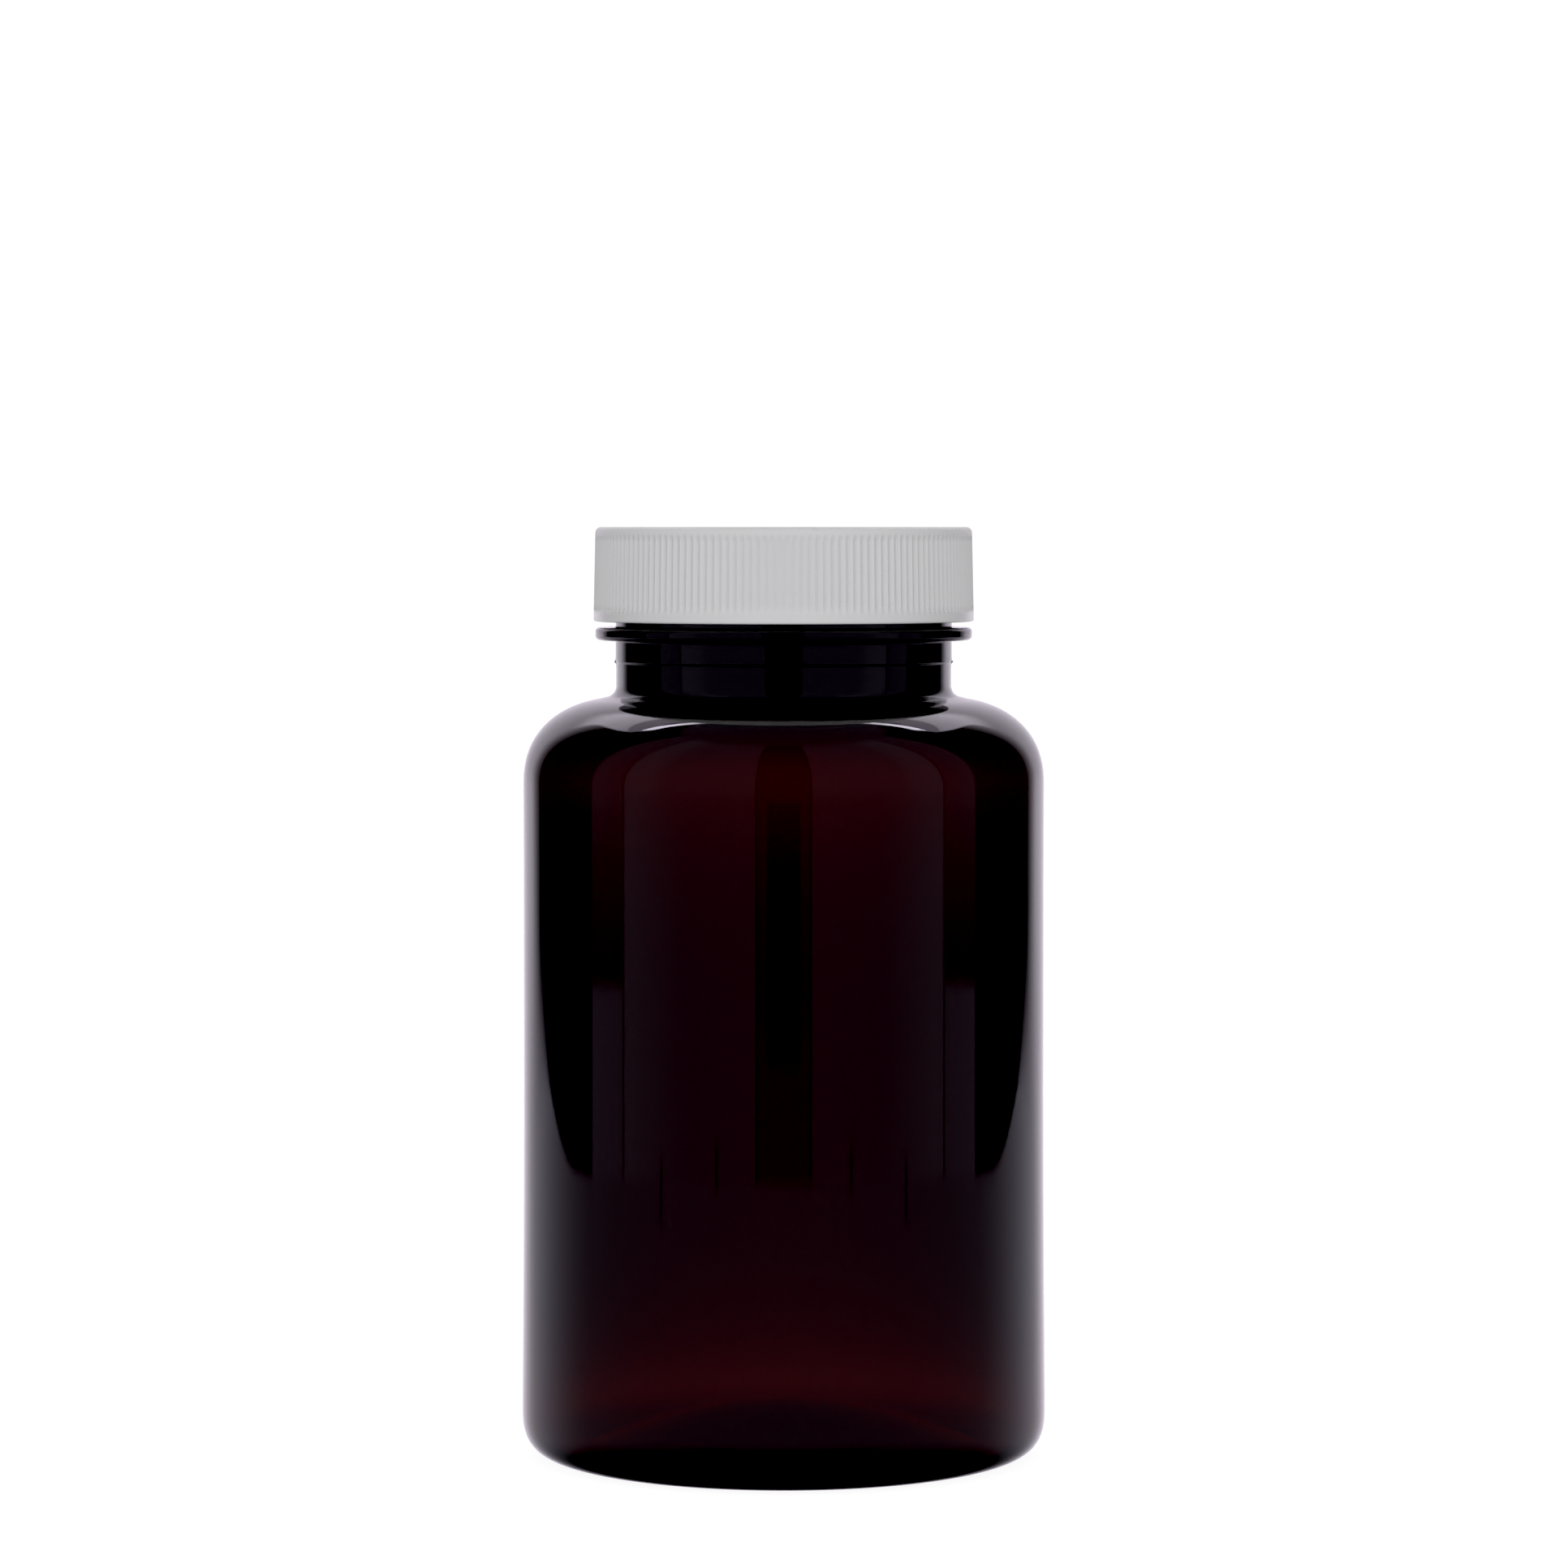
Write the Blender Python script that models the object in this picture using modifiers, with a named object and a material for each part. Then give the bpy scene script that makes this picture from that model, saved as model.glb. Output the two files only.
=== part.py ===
"""Prescription vial: a dark amber PET packer bottle with a wide screw neck, a low white screw cap
with fine grip ribs, and the foam liner inside the cap. Metres, +Z up. The bottle stands on z = 0
with its axis on the Z axis. The cap turns about that axis and rises one pitch for each turn."""

from math import atan2, cos, pi, radians, sin, tau

import bmesh
import bpy

MM = 0.001
FIT_GAP = 0.25 * MM  # left between pieces that touch

# Base and heel
PUSH_UP_RADIUS = 25.0 * MM
PUSH_UP_LOW = 0.25 * MM
PUSH_UP_HIGH = 5.8 * MM
STANDING_INNER = 25.6 * MM
STANDING_OUTER = 26.8 * MM
HEEL_HEIGHT = 6.0 * MM
HEEL_SQUARENESS = 2.85

# Body: it tapers gently from the bumper above the heel to the straight label panel
BUMPER_RADIUS = 32.84 * MM
BUMPER_TOP = 7.0 * MM
PANEL_RADIUS = 32.6 * MM
PANEL_LOW = 42.0 * MM
PANEL_HIGH = 74.0 * MM
BODY_RADIUS = 32.63 * MM
BODY_WALL = 0.72 * MM
FLOOR_WALL = 0.95 * MM

# Shoulder: a quarter of a superellipse, cut where the neck's fillet meets it
SHOULDER_TOP = 95.04 * MM
SHOULDER_WIDTH = 12.65 * MM
SHOULDER_HEIGHT = 10.79 * MM
SHOULDER_SQUARENESS = 2.23
SHOULDER_CUT = 78
SHOULDER_WALL = 1.1 * MM

# Neck, transfer ring and bore
NECK_RADIUS = 20.96 * MM
NECK_FILLET = 1.4 * MM
PARTING_LOW = 99.3 * MM
PARTING_HIGH = 99.55 * MM
FINISH_RADIUS = 21.07 * MM
RING_RADIUS = 23.6 * MM
RING_LOW = 102.2 * MM
RING_HIGH = 103.8 * MM
RING_EDGE = 0.55 * MM
BORE_RADIUS = 19.3 * MM
BORE_LOW = 97.6 * MM
BORE_FLARE = 2.6 * MM
RIM_EDGE = 0.35 * MM

# Cap
CAP_TOP = 116.34 * MM
CAP_BOTTOM = 104.55 * MM
CAP_PANEL = 1.1 * MM
CAP_RADIUS_HIGH = 23.58 * MM
CAP_RADIUS_LOW = 23.82 * MM
CAP_EDGE = 0.7 * MM
CAP_BORE = 22.45 * MM
CAP_MOUTH = 22.75 * MM
RIBS = 156
RIB_DEPTH = 0.3 * MM
RIB_HIGH = 115.1 * MM
RIB_LOW = 106.1 * MM
BAND_HIGH = 105.8 * MM
BEAD_RADIUS = 21.75 * MM  # the bead that keeps the liner in the cap

# Liner
LINER_RADIUS = 22.0 * MM
LINER_THICKNESS = 0.8 * MM
LINER_EDGE = 0.1 * MM
LINER_TOP = CAP_TOP - CAP_PANEL - FIT_GAP
LINER_BOTTOM = LINER_TOP - LINER_THICKNESS
RIM_TOP = LINER_BOTTOM - FIT_GAP

# Threads: one start, right handed, six turns to the inch
PITCH = 25.4 / 6 * MM
THREAD_ROOT_WIDTH = 2.2 * MM
THREAD_CREST_WIDTH = 1.0 * MM
THREAD_SUNK = 0.4 * MM  # how far a ridge starts inside its wall
THREAD_RUNOUT = radians(28)
BOTTLE_CREST = 22.1 * MM
BOTTLE_THREAD_LOW = 106.3 * MM
BOTTLE_THREAD_TURNS = 1.25
CAP_CREST = 21.42 * MM
CAP_THREAD_LOW = 106.1 * MM
CAP_THREAD_DROP = 1.8 * MM  # how far under the bottle's ridge the cap's ridge lies
CAP_THREAD_TURNS = 1.05

# Facets round the axis. The cap has one at each rib's crest and one at each groove.
BOTTLE_STEPS = 60
CAP_STEPS = 2 * RIBS
CAVITY_STEPS = RIBS // 2
LINER_STEPS = 60


def clear_scene():
    for obj in list(bpy.data.objects):
        bpy.data.objects.remove(obj)


def new_collection(name):
    group = bpy.data.collections.new(name)
    bpy.context.scene.collection.children.link(group)
    return group


def new_object(name, mesh, group):
    obj = bpy.data.objects.new(name, mesh)
    group.objects.link(obj)
    return obj


def plastic(name, colour, roughness, transmission=0.0):
    material = bpy.data.materials.new(name)
    material.use_nodes = True
    shader = material.node_tree.nodes["Principled BSDF"]
    shader.inputs["Base Color"].default_value = (*colour, 1.0)
    shader.inputs["Roughness"].default_value = roughness
    shader.inputs["Metallic"].default_value = 0.0
    shader.inputs["Transmission Weight"].default_value = transmission
    material.diffuse_color = (*colour, 1.0)
    return material


def arc(centre, radii, start, stop, count, squareness=2.0):
    """Points of a superelliptical arc in the plane of radius and height. Its angles are in
    degrees, with 0 outwards and 90 up, and both ends are included."""
    points = []
    for i in range(count):
        angle = radians(start + (stop - start) * i / (count - 1))
        offsets = []
        for size, share in zip(radii, (cos(angle), sin(angle))):
            side = 1 if share > 0 else -1
            offsets.append(side * size * abs(share) ** (2 / squareness))
        points.append((centre[0] + offsets[0], centre[1] + offsets[1]))
    return points


def dome(radius, low, high, count):
    """Points of a parabolic dome, from its top on the axis to its edge."""
    shares = [i / (count - 1) for i in range(count)]
    return [(radius * s, high - (high - low) * s * s) for s in shares]


def turned(name, profile, steps, group):
    """A solid of revolution about Z, from a profile that starts and ends on the axis and runs
    down the outer side."""
    mesh = bpy.data.meshes.new(name)
    edges = [(i, i + 1) for i in range(len(profile) - 1)]
    mesh.from_pydata([(radius, 0, height) for radius, height in profile], edges, [])
    obj = new_object(name, mesh, group)
    screw = obj.modifiers.new("Turn", "SCREW")
    screw.axis = "Z"
    screw.angle = tau
    screw.steps = steps
    screw.render_steps = steps
    screw.use_merge_vertices = True
    screw.merge_threshold = 0.00001
    return obj


def thread(name, root, crest, low, turns, steps, group):
    """A helical ridge that fades into its wall at both ends: a loft of trapezoid sections, which
    stands out of a wall of radius root as far as crest. A crest under the root points inwards."""
    side = 1 if crest > root else -1
    sunk = root - side * THREAD_SUNK
    faded = root - side * THREAD_SUNK / 2
    count = round(turns * steps)
    bm = bmesh.new()
    sections = []
    for i in range(count + 1):
        angle = tau * i / steps
        height = low + PITCH * i / steps
        from_end = tau * min(i, count - i) / steps
        rise = sin(pi / 2 * min(1.0, from_end / THREAD_RUNOUT)) ** 2
        top = faded + (crest - faded) * rise
        corners = (
            (sunk, -THREAD_ROOT_WIDTH / 2),
            (top, -THREAD_CREST_WIDTH / 2),
            (top, THREAD_CREST_WIDTH / 2),
            (sunk, THREAD_ROOT_WIDTH / 2),
        )
        section = [(r * cos(angle), r * sin(angle), height + z) for r, z in corners]
        sections.append([bm.verts.new(point) for point in section])
    for first, second in zip(sections, sections[1:]):
        for i in range(4):
            j = (i + 1) % 4
            bm.faces.new((first[i], first[j], second[j], second[i]))
    bm.faces.new(sections[0])
    bm.faces.new(sections[-1])
    bmesh.ops.recalc_face_normals(bm, faces=bm.faces)
    mesh = bpy.data.meshes.new(name)
    bm.to_mesh(mesh)
    bm.free()
    return new_object(name, mesh, group)


def combine(obj, tool, operation):
    """Joins or cuts the object with a tool, which stays in the file as a hidden wireframe."""
    tool.hide_render = True
    tool.display_type = "WIRE"
    boolean = obj.modifiers.new(tool.name, "BOOLEAN")
    boolean.operation = operation
    boolean.solver = "EXACT"
    boolean.object = tool


def apply_modifiers(obj):
    graph = bpy.context.evaluated_depsgraph_get()
    mesh = bpy.data.meshes.new_from_object(obj.evaluated_get(graph))
    mesh.name = obj.name
    obj.modifiers.clear()
    obj.data = mesh


def finish(obj, material):
    """Applies the modifiers, gives the piece its material, and shades it smooth between its
    sharp edges."""
    apply_modifiers(obj)
    obj.data.materials.clear()
    obj.data.materials.append(material)
    obj.data.shade_smooth()
    obj.data.set_sharp_from_angle(angle=radians(28))


def bottle_inside():
    """The wetted side, from the middle of the floor up to the rim."""
    heel = (BUMPER_RADIUS - STANDING_OUTER - BODY_WALL, HEEL_HEIGHT - FLOOR_WALL)
    width, height = SHOULDER_WIDTH - BODY_WALL, SHOULDER_HEIGHT - SHOULDER_WALL
    corner = (BODY_RADIUS - SHOULDER_WIDTH, SHOULDER_TOP - SHOULDER_HEIGHT)
    flare_low = corner[1] + height
    return [
        *dome(PUSH_UP_RADIUS, PUSH_UP_LOW + FLOOR_WALL, PUSH_UP_HIGH + FLOOR_WALL, 5),
        *arc((STANDING_OUTER, HEEL_HEIGHT), heel, 270, 360, 6, HEEL_SQUARENESS),
        (BUMPER_RADIUS - BODY_WALL, BUMPER_TOP),
        (PANEL_RADIUS - BODY_WALL, PANEL_LOW),
        *arc(corner, (width, height), 0, SHOULDER_CUT, 7, SHOULDER_SQUARENESS),
        *arc((BORE_RADIUS + BORE_FLARE, BORE_LOW), (BORE_FLARE, BORE_LOW - flare_low), 270, 180, 4),
        *arc((BORE_RADIUS + RIM_EDGE, RIM_TOP - RIM_EDGE), (RIM_EDGE, RIM_EDGE), 180, 90, 3),
    ]


def bottle_outside():
    """The outer side, from the rim down to the middle of the push-up."""
    ring = RING_RADIUS - RING_EDGE
    fillet = (NECK_RADIUS + NECK_FILLET, SHOULDER_TOP + NECK_FILLET)
    corner = (BODY_RADIUS - SHOULDER_WIDTH, SHOULDER_TOP - SHOULDER_HEIGHT)
    shoulder = (SHOULDER_WIDTH, SHOULDER_HEIGHT)
    heel = (BUMPER_RADIUS - STANDING_OUTER, HEEL_HEIGHT)
    edge = (RING_EDGE, RING_EDGE)
    return [
        *arc((FINISH_RADIUS - RIM_EDGE, RIM_TOP - RIM_EDGE), (RIM_EDGE, RIM_EDGE), 90, 0, 3),
        (FINISH_RADIUS, RING_HIGH),
        *arc((ring, RING_HIGH - RING_EDGE), edge, 90, 0, 3),
        *arc((ring, RING_LOW + RING_EDGE), edge, 0, -90, 3),
        (FINISH_RADIUS, RING_LOW),
        (FINISH_RADIUS, PARTING_HIGH),
        (NECK_RADIUS, PARTING_LOW),
        *arc(fillet, (NECK_FILLET, NECK_FILLET), 180, 260, 4),
        *arc(corner, shoulder, SHOULDER_CUT, 0, 9, SHOULDER_SQUARENESS),
        (PANEL_RADIUS, PANEL_HIGH),
        (PANEL_RADIUS, PANEL_LOW),
        (BUMPER_RADIUS, BUMPER_TOP),
        *arc((STANDING_OUTER, HEEL_HEIGHT), heel, 0, -90, 9, HEEL_SQUARENESS),
        (STANDING_INNER, 0),
        *reversed(dome(PUSH_UP_RADIUS, PUSH_UP_LOW, PUSH_UP_HIGH, 6)),
    ]


def make_bottle(parts, tools, material):
    bottle = turned("bottle", bottle_inside() + bottle_outside(), BOTTLE_STEPS, parts)
    ridge = thread(
        "bottle_thread",
        FINISH_RADIUS,
        BOTTLE_CREST,
        BOTTLE_THREAD_LOW,
        BOTTLE_THREAD_TURNS,
        BOTTLE_STEPS,
        tools,
    )
    combine(bottle, ridge, "UNION")
    finish(bottle, material)


def press_grooves(mesh):
    """Moves every second column of the cap's side inwards over the height of the ribs."""
    for vertex in mesh.vertices:
        column = round(atan2(vertex.co.y, vertex.co.x) / tau * CAP_STEPS)
        radius = vertex.co.xy.length
        on_side = radius > CAP_RADIUS_HIGH - RIB_DEPTH
        if on_side and column % 2 and RIB_LOW - 0.01 * MM < vertex.co.z < RIB_HIGH + 0.01 * MM:
            vertex.co.xy *= (radius - RIB_DEPTH) / radius


def cap_radius(height):
    """The side's radius at a height, along its draft."""
    share = (height - CAP_BOTTOM) / (CAP_TOP - CAP_BOTTOM)
    return CAP_RADIUS_LOW + (CAP_RADIUS_HIGH - CAP_RADIUS_LOW) * share


def cavity_profile():
    """The hollow that holds the liner and takes the bottle's neck. It runs out below the cap."""
    below = CAP_BOTTOM - 1 * MM
    panel = CAP_TOP - CAP_PANEL
    return [
        (0, panel),
        (CAP_BORE, panel),
        (CAP_BORE, LINER_BOTTOM - 0.1 * MM),
        (BEAD_RADIUS, LINER_BOTTOM - 0.45 * MM),
        (BEAD_RADIUS, LINER_BOTTOM - 0.65 * MM),
        (CAP_BORE, LINER_BOTTOM - 1.3 * MM),
        (CAP_BORE, CAP_BOTTOM + 0.6 * MM),
        (CAP_MOUTH, CAP_BOTTOM + 0.3 * MM),
        (CAP_MOUTH, below),
        (0, below),
    ]


def make_cap(parts, tools, material):
    side = [(cap_radius(height), height) for height in (RIB_HIGH, RIB_LOW, BAND_HIGH, CAP_BOTTOM)]
    edge_centre = (CAP_RADIUS_HIGH - CAP_EDGE, CAP_TOP - CAP_EDGE)
    edge = arc(edge_centre, (CAP_EDGE, CAP_EDGE), 90, 0, 3)
    cap = turned("cap", [(0, CAP_TOP), *edge, *side, (0, CAP_BOTTOM)], CAP_STEPS, parts)
    apply_modifiers(cap)
    press_grooves(cap.data)
    cavity = turned("cap_cavity", cavity_profile(), CAVITY_STEPS, tools)
    combine(cap, cavity, "DIFFERENCE")
    ridge = thread(
        "cap_thread",
        CAP_BORE,
        CAP_CREST,
        CAP_THREAD_LOW,
        CAP_THREAD_TURNS,
        CAVITY_STEPS,
        tools,
    )
    # Both ridges lie on one helix, so the cap's is turned until it is the drop under the bottle's.
    ridge.rotation_euler.z = tau * (CAP_THREAD_LOW - BOTTLE_THREAD_LOW + CAP_THREAD_DROP) / PITCH
    combine(cap, ridge, "UNION")
    finish(cap, material)


def make_liner(parts, material):
    edge = (LINER_EDGE, LINER_EDGE)
    outer = LINER_RADIUS - LINER_EDGE
    profile = [
        (0, LINER_TOP),
        *arc((outer, LINER_TOP - LINER_EDGE), edge, 90, 0, 2),
        *arc((outer, LINER_BOTTOM + LINER_EDGE), edge, 0, -90, 2),
        (0, LINER_BOTTOM),
    ]
    liner = turned("liner", profile, LINER_STEPS, parts)
    finish(liner, material)


clear_scene()
vial = new_collection("prescription_vial")
guides = new_collection("guides")
make_bottle(vial, guides, plastic("amber_pet", (0.035, 0.006, 0.005), 0.08, 0.3))
make_cap(vial, guides, plastic("white_polypropylene", (0.62, 0.62, 0.63), 0.42))
make_liner(vial, plastic("liner_foam", (0.82, 0.81, 0.78), 0.7))
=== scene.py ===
from math import atan2, cos, pi, radians, sin, tau

import bpy
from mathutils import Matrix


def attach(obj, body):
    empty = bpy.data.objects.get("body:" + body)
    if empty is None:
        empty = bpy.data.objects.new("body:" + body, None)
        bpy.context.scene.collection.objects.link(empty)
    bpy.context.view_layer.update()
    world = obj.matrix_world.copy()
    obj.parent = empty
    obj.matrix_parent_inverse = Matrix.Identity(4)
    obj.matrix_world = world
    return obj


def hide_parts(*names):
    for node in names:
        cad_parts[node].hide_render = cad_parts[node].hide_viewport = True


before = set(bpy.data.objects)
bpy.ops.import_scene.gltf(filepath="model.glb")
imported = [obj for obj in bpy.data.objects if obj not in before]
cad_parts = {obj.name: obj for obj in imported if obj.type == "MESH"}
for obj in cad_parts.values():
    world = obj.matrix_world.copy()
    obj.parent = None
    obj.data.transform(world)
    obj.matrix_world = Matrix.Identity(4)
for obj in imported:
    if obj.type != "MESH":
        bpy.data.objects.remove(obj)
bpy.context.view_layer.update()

MM = 0.001

# Camera: where the photographer stood, a little under the height of the cap's top.
CAMERA_DISTANCE = 0.6873
CAMERA_HEIGHT = 0.11608
CAMERA_LENS = 125.9
CAMERA_PITCH = 1.68
CAMERA_SHIFT_X = 0.0002
CAMERA_SHIFT_Y = -0.06

# Bottle. The outline is the CAD bottle's, with rounder corners and a wall of uneven thickness.
PUSH_UP_RADIUS = 25.0 * MM
PUSH_UP_LOW = 0.25 * MM
PUSH_UP_HIGH = 5.8 * MM
STANDING_INNER = 25.6 * MM
STANDING_OUTER = 26.8 * MM
HEEL_HEIGHT = 6.0 * MM
HEEL_SQUARENESS = 2.85
BUMPER_RADIUS = 32.84 * MM
BUMPER_TOP = 7.0 * MM
PANEL_RADIUS = 32.6 * MM
PANEL_LOW = 52.0 * MM
PANEL_HIGH = 74.0 * MM
BODY_RADIUS = 32.63 * MM
FLOOR_WALL = 0.95 * MM
SHOULDER_TOP = 95.04 * MM
SHOULDER_WIDTH = 12.65 * MM
SHOULDER_HEIGHT = 10.79 * MM
SHOULDER_SQUARENESS = 2.23
SHOULDER_CUT = 78
SHOULDER_WALL = 0.88 * MM
NECK_RADIUS = 20.96 * MM
NECK_FILLET = 1.4 * MM
PARTING_LOW = 99.3 * MM
PARTING_HIGH = 99.55 * MM
FINISH_RADIUS = 21.07 * MM
RING_RADIUS = 23.6 * MM
RING_LOW = 102.2 * MM
RING_HIGH = 103.8 * MM
RING_EDGE = 0.55 * MM
RING_FILLET = 0.2 * MM
BORE_RADIUS = 19.3 * MM
BORE_LOW = 97.6 * MM
BORE_FLARE = 2.6 * MM
RIM_EDGE = 0.35 * MM
RIM_TOP = 113.94 * MM
BOTTLE_COLUMNS = 288

# Wall of the bottle's body: thickest halfway up, thinner where the preform stretched most.
WALL_MIDDLE = 0.85 * MM
WALL_HEEL_LOSS = 0.5 * MM
WALL_HEEL_REACH = 30.0 * MM
WALL_TOP_LOSS = 0.23 * MM
WALL_TOP_START = 55.0 * MM
WALL_TOP_REACH = 30.0 * MM

# Marks that the mould leaves on the bottle
SEAM_HEIGHT = 0.035 * MM
SEAM_ANGLE = radians(0.3)
NIB_HEIGHT = 0.16 * MM
NIB_ANGLES = (-102.3, -96.4, 0.0, 180.0)
NIB_ANGLE = radians(0.75)
GATE_RADIUS = 2.4 * MM
GATE_HEIGHT = 0.7 * MM
BASE_GROOVE = 13.9 * MM
BASE_GROOVE_WIDTH = 1.4 * MM
BASE_GROOVE_DEPTH = 0.12 * MM

# Threads: one start, right handed, six turns to the inch
PITCH = 25.4 / 6 * MM
THREAD_HALF_ROOT = 1.1 * MM
THREAD_HALF_CREST = 0.45 * MM
THREAD_RUNOUT = radians(28)
BOTTLE_CREST = 22.1 * MM
BOTTLE_THREAD_LOW = 106.3 * MM
BOTTLE_THREAD_TURNS = 1.25
CAP_CREST = 21.42 * MM
CAP_THREAD_LOW = 106.1 * MM
CAP_THREAD_DROP = 1.8 * MM
CAP_THREAD_TURNS = 1.05

# Cap
CAP_TOP = 116.34 * MM
CAP_BOTTOM = 104.55 * MM
CAP_PANEL = 1.1 * MM
CAP_RADIUS_HIGH = 23.58 * MM
CAP_RADIUS_LOW = 23.82 * MM
CAP_EDGE = 0.7 * MM
CAP_BORE = 22.45 * MM
CAP_MOUTH = 22.75 * MM
RIBS = 156
RIB_DEPTH = 0.3 * MM
RIB_HIGH = 115.1 * MM
RIB_LOW = 106.1 * MM
RIB_FADE = 0.55 * MM
BEAD_RADIUS = 21.75 * MM
CAP_COLUMNS_PER_RIB = 6

# Liner
LINER_RADIUS = 22.0 * MM
LINER_EDGE = 0.1 * MM
LINER_TOP = 114.99 * MM
LINER_BOTTOM = 114.19 * MM
LINER_DENT = 0.06 * MM
LINER_COLUMNS = 144

# Studio, as the plastic reflects it. Directions are in degrees: azimuth 0 is the camera's side
# and 180 is behind the vial, elevation 0 is level, and brightness 1 is paper white.
GAP_EDGE = 11.8
CORE_EDGE = 7.2
PANEL_EDGE = 74.6
STRIP_EDGE = 93.0
SWEEP_EDGE = 137.4
CEILING_EDGE = 63.5
PANEL_FEET = ((29.5, -6.5, -6.2), (55.0, -6.75, -6.3))
PANEL_LIGHT = 0.187
PANEL_SIDE_LIGHT = 0.24
PANEL_TOP_LIGHT = 0.21
PANEL_TOP_SIDE_LIGHT = 0.245
STRIP_LIGHT = 0.22
GAP_LIGHT = 0.085
GAP_LOW_LIGHT = 0.11
CORE_LIGHT = 0.005
FRAME_LIGHT = 0.02
FOOT_LIGHT = 0.04
SIDE_LIGHT = 0.03
CEILING_LIGHT = 0.16
LAMP_LIGHT = 1.9
LAMP_RIM_LIGHT = 0.95
TUBE_LIGHT = 7.0
PANEL_TINT = (1.07, 1.0, 1.2, 1.0)
SWEEP_TINT = (1.08, 1.0, 1.14, 1.0)

# Studio, as seen directly and through the bottle, and as the soft light on the cap
WHITE = (1.0, 1.0, 1.0, 1.0)
BACKDROP_LIGHT = 1.05
THROUGH_LIGHT = 0.95
SOFT_TINT = (1.0, 0.995, 1.0, 1.0)
SOFT_LIGHT = 0.25
SOFT_FRONT = 0.75
SOFT_ABOVE = 0.12
SOFT_RIGHT = -0.012
FLOOR_RADIUS = 3.0
FLOOR_LIGHT = 0.93
# Painted shadow under the vial, seen only through the bottle's base
SHADE_INNER = 20.0 * MM
SHADE_OUTER = 32.0 * MM
BLACK_LEVEL = 0.0097


# ---------------------------------------------------------------- shapes


def smooth(value, start, stop):
    """0 at start, 1 at stop, and an S curve between them."""
    share = min(1.0, max(0.0, (value - start) / (stop - start)))
    return share * share * (3 - 2 * share)


def arc(centre, radii, start, stop, count, squareness=2.0):
    """Points of a superelliptical arc in the plane of radius and height, angles in degrees."""
    points = []
    for i in range(count):
        angle = radians(start + (stop - start) * i / (count - 1))
        offsets = []
        for size, share in zip(radii, (cos(angle), sin(angle))):
            side = 1 if share > 0 else -1
            offsets.append(side * size * abs(share) ** (2 / squareness))
        points.append((centre[0] + offsets[0], centre[1] + offsets[1]))
    return points


def line(start, stop, count):
    """Points along a straight line, without its two ends."""
    shares = [(i + 1) / (count + 1) for i in range(count)]
    return [tuple(a + (b - a) * s for a, b in zip(start, stop)) for s in shares]


def even_angles(count):
    return [tau * i / count for i in range(count)]


def lathe(name, outline, angles):
    """A closed solid turned about Z. The outline is a list of (radius, height, relief) from axis
    to axis, and a relief gives how far a point at an angle and a height stands out."""
    points = [(0, 0, outline[0][1]), (0, 0, outline[-1][1])]
    count = len(angles)
    for radius, height, relief in outline[1:-1]:
        for angle in angles:
            r = radius + (relief(angle, height) if relief else 0.0)
            points.append((r * cos(angle), r * sin(angle), height))
    faces = []
    rows = len(outline) - 2
    for j in range(count):
        k = (j + 1) % count
        faces.append((0, 2 + k, 2 + j))
        last = 2 + (rows - 1) * count
        faces.append((1, last + j, last + k))
        for i in range(rows - 1):
            low, high = 2 + i * count, 2 + (i + 1) * count
            faces.append((low + j, low + k, high + k, high + j))
    mesh = bpy.data.meshes.new(name)
    mesh.from_pydata(points, [], faces)
    mesh.shade_smooth()
    mesh.set_sharp_from_angle(angle=radians(42))
    obj = bpy.data.objects.new(name, mesh)
    bpy.context.scene.collection.objects.link(obj)
    return obj


def with_relief(points, relief=None):
    return [(radius, height, relief) for radius, height in points]


def ridge(angle, height, low, turns, depth, start=0.0):
    """How far a helical thread stands out of its wall at an angle and a height."""
    best = 0.0
    swept = (angle - start) % tau
    while swept <= turns * tau:
        across = abs(height - low - PITCH * swept / tau)
        if across < THREAD_HALF_ROOT:
            from_end = min(swept, turns * tau - swept)
            rise = sin(pi / 2 * min(1.0, from_end / THREAD_RUNOUT)) ** 2
            flank = 1 - smooth(across, THREAD_HALF_CREST, THREAD_HALF_ROOT)
            best = max(best, depth * rise * flank)
        swept += tau
    return best


# ---------------------------------------------------------------- bottle


def body_wall(height):
    heel = max(0.0, 1 - height / WALL_HEEL_REACH)
    top = max(0.0, (height - WALL_TOP_START) / WALL_TOP_REACH)
    return WALL_MIDDLE - WALL_HEEL_LOSS * heel**2 - WALL_TOP_LOSS * top**2


def seam(angle, height):
    """The fine line that the two mould halves leave, at +X and -X."""
    offset = abs((angle + pi / 2) % pi - pi / 2)
    fade = smooth(height, 5 * MM, 9 * MM) * (1 - smooth(height, 101.5 * MM, 102 * MM))
    return SEAM_HEIGHT * fade * (1 - smooth(offset, 0, SEAM_ANGLE))


def parting(angle, height):
    """The seam, and the nibs of flash on the step under the transfer ring."""
    nib = 0.0
    across = abs(height - (PARTING_LOW + PARTING_HIGH) / 2)
    for degrees in NIB_ANGLES:
        offset = abs((angle - radians(degrees) + pi) % tau - pi)
        nib += (1 - smooth(offset, 0, NIB_ANGLE)) * (1 - smooth(across, 0, 0.28 * MM))
    return NIB_HEIGHT * nib + seam(angle, height)


def bottle_thread(angle, height):
    depth = BOTTLE_CREST - FINISH_RADIUS
    return ridge(angle, height, BOTTLE_THREAD_LOW, BOTTLE_THREAD_TURNS, depth)


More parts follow.
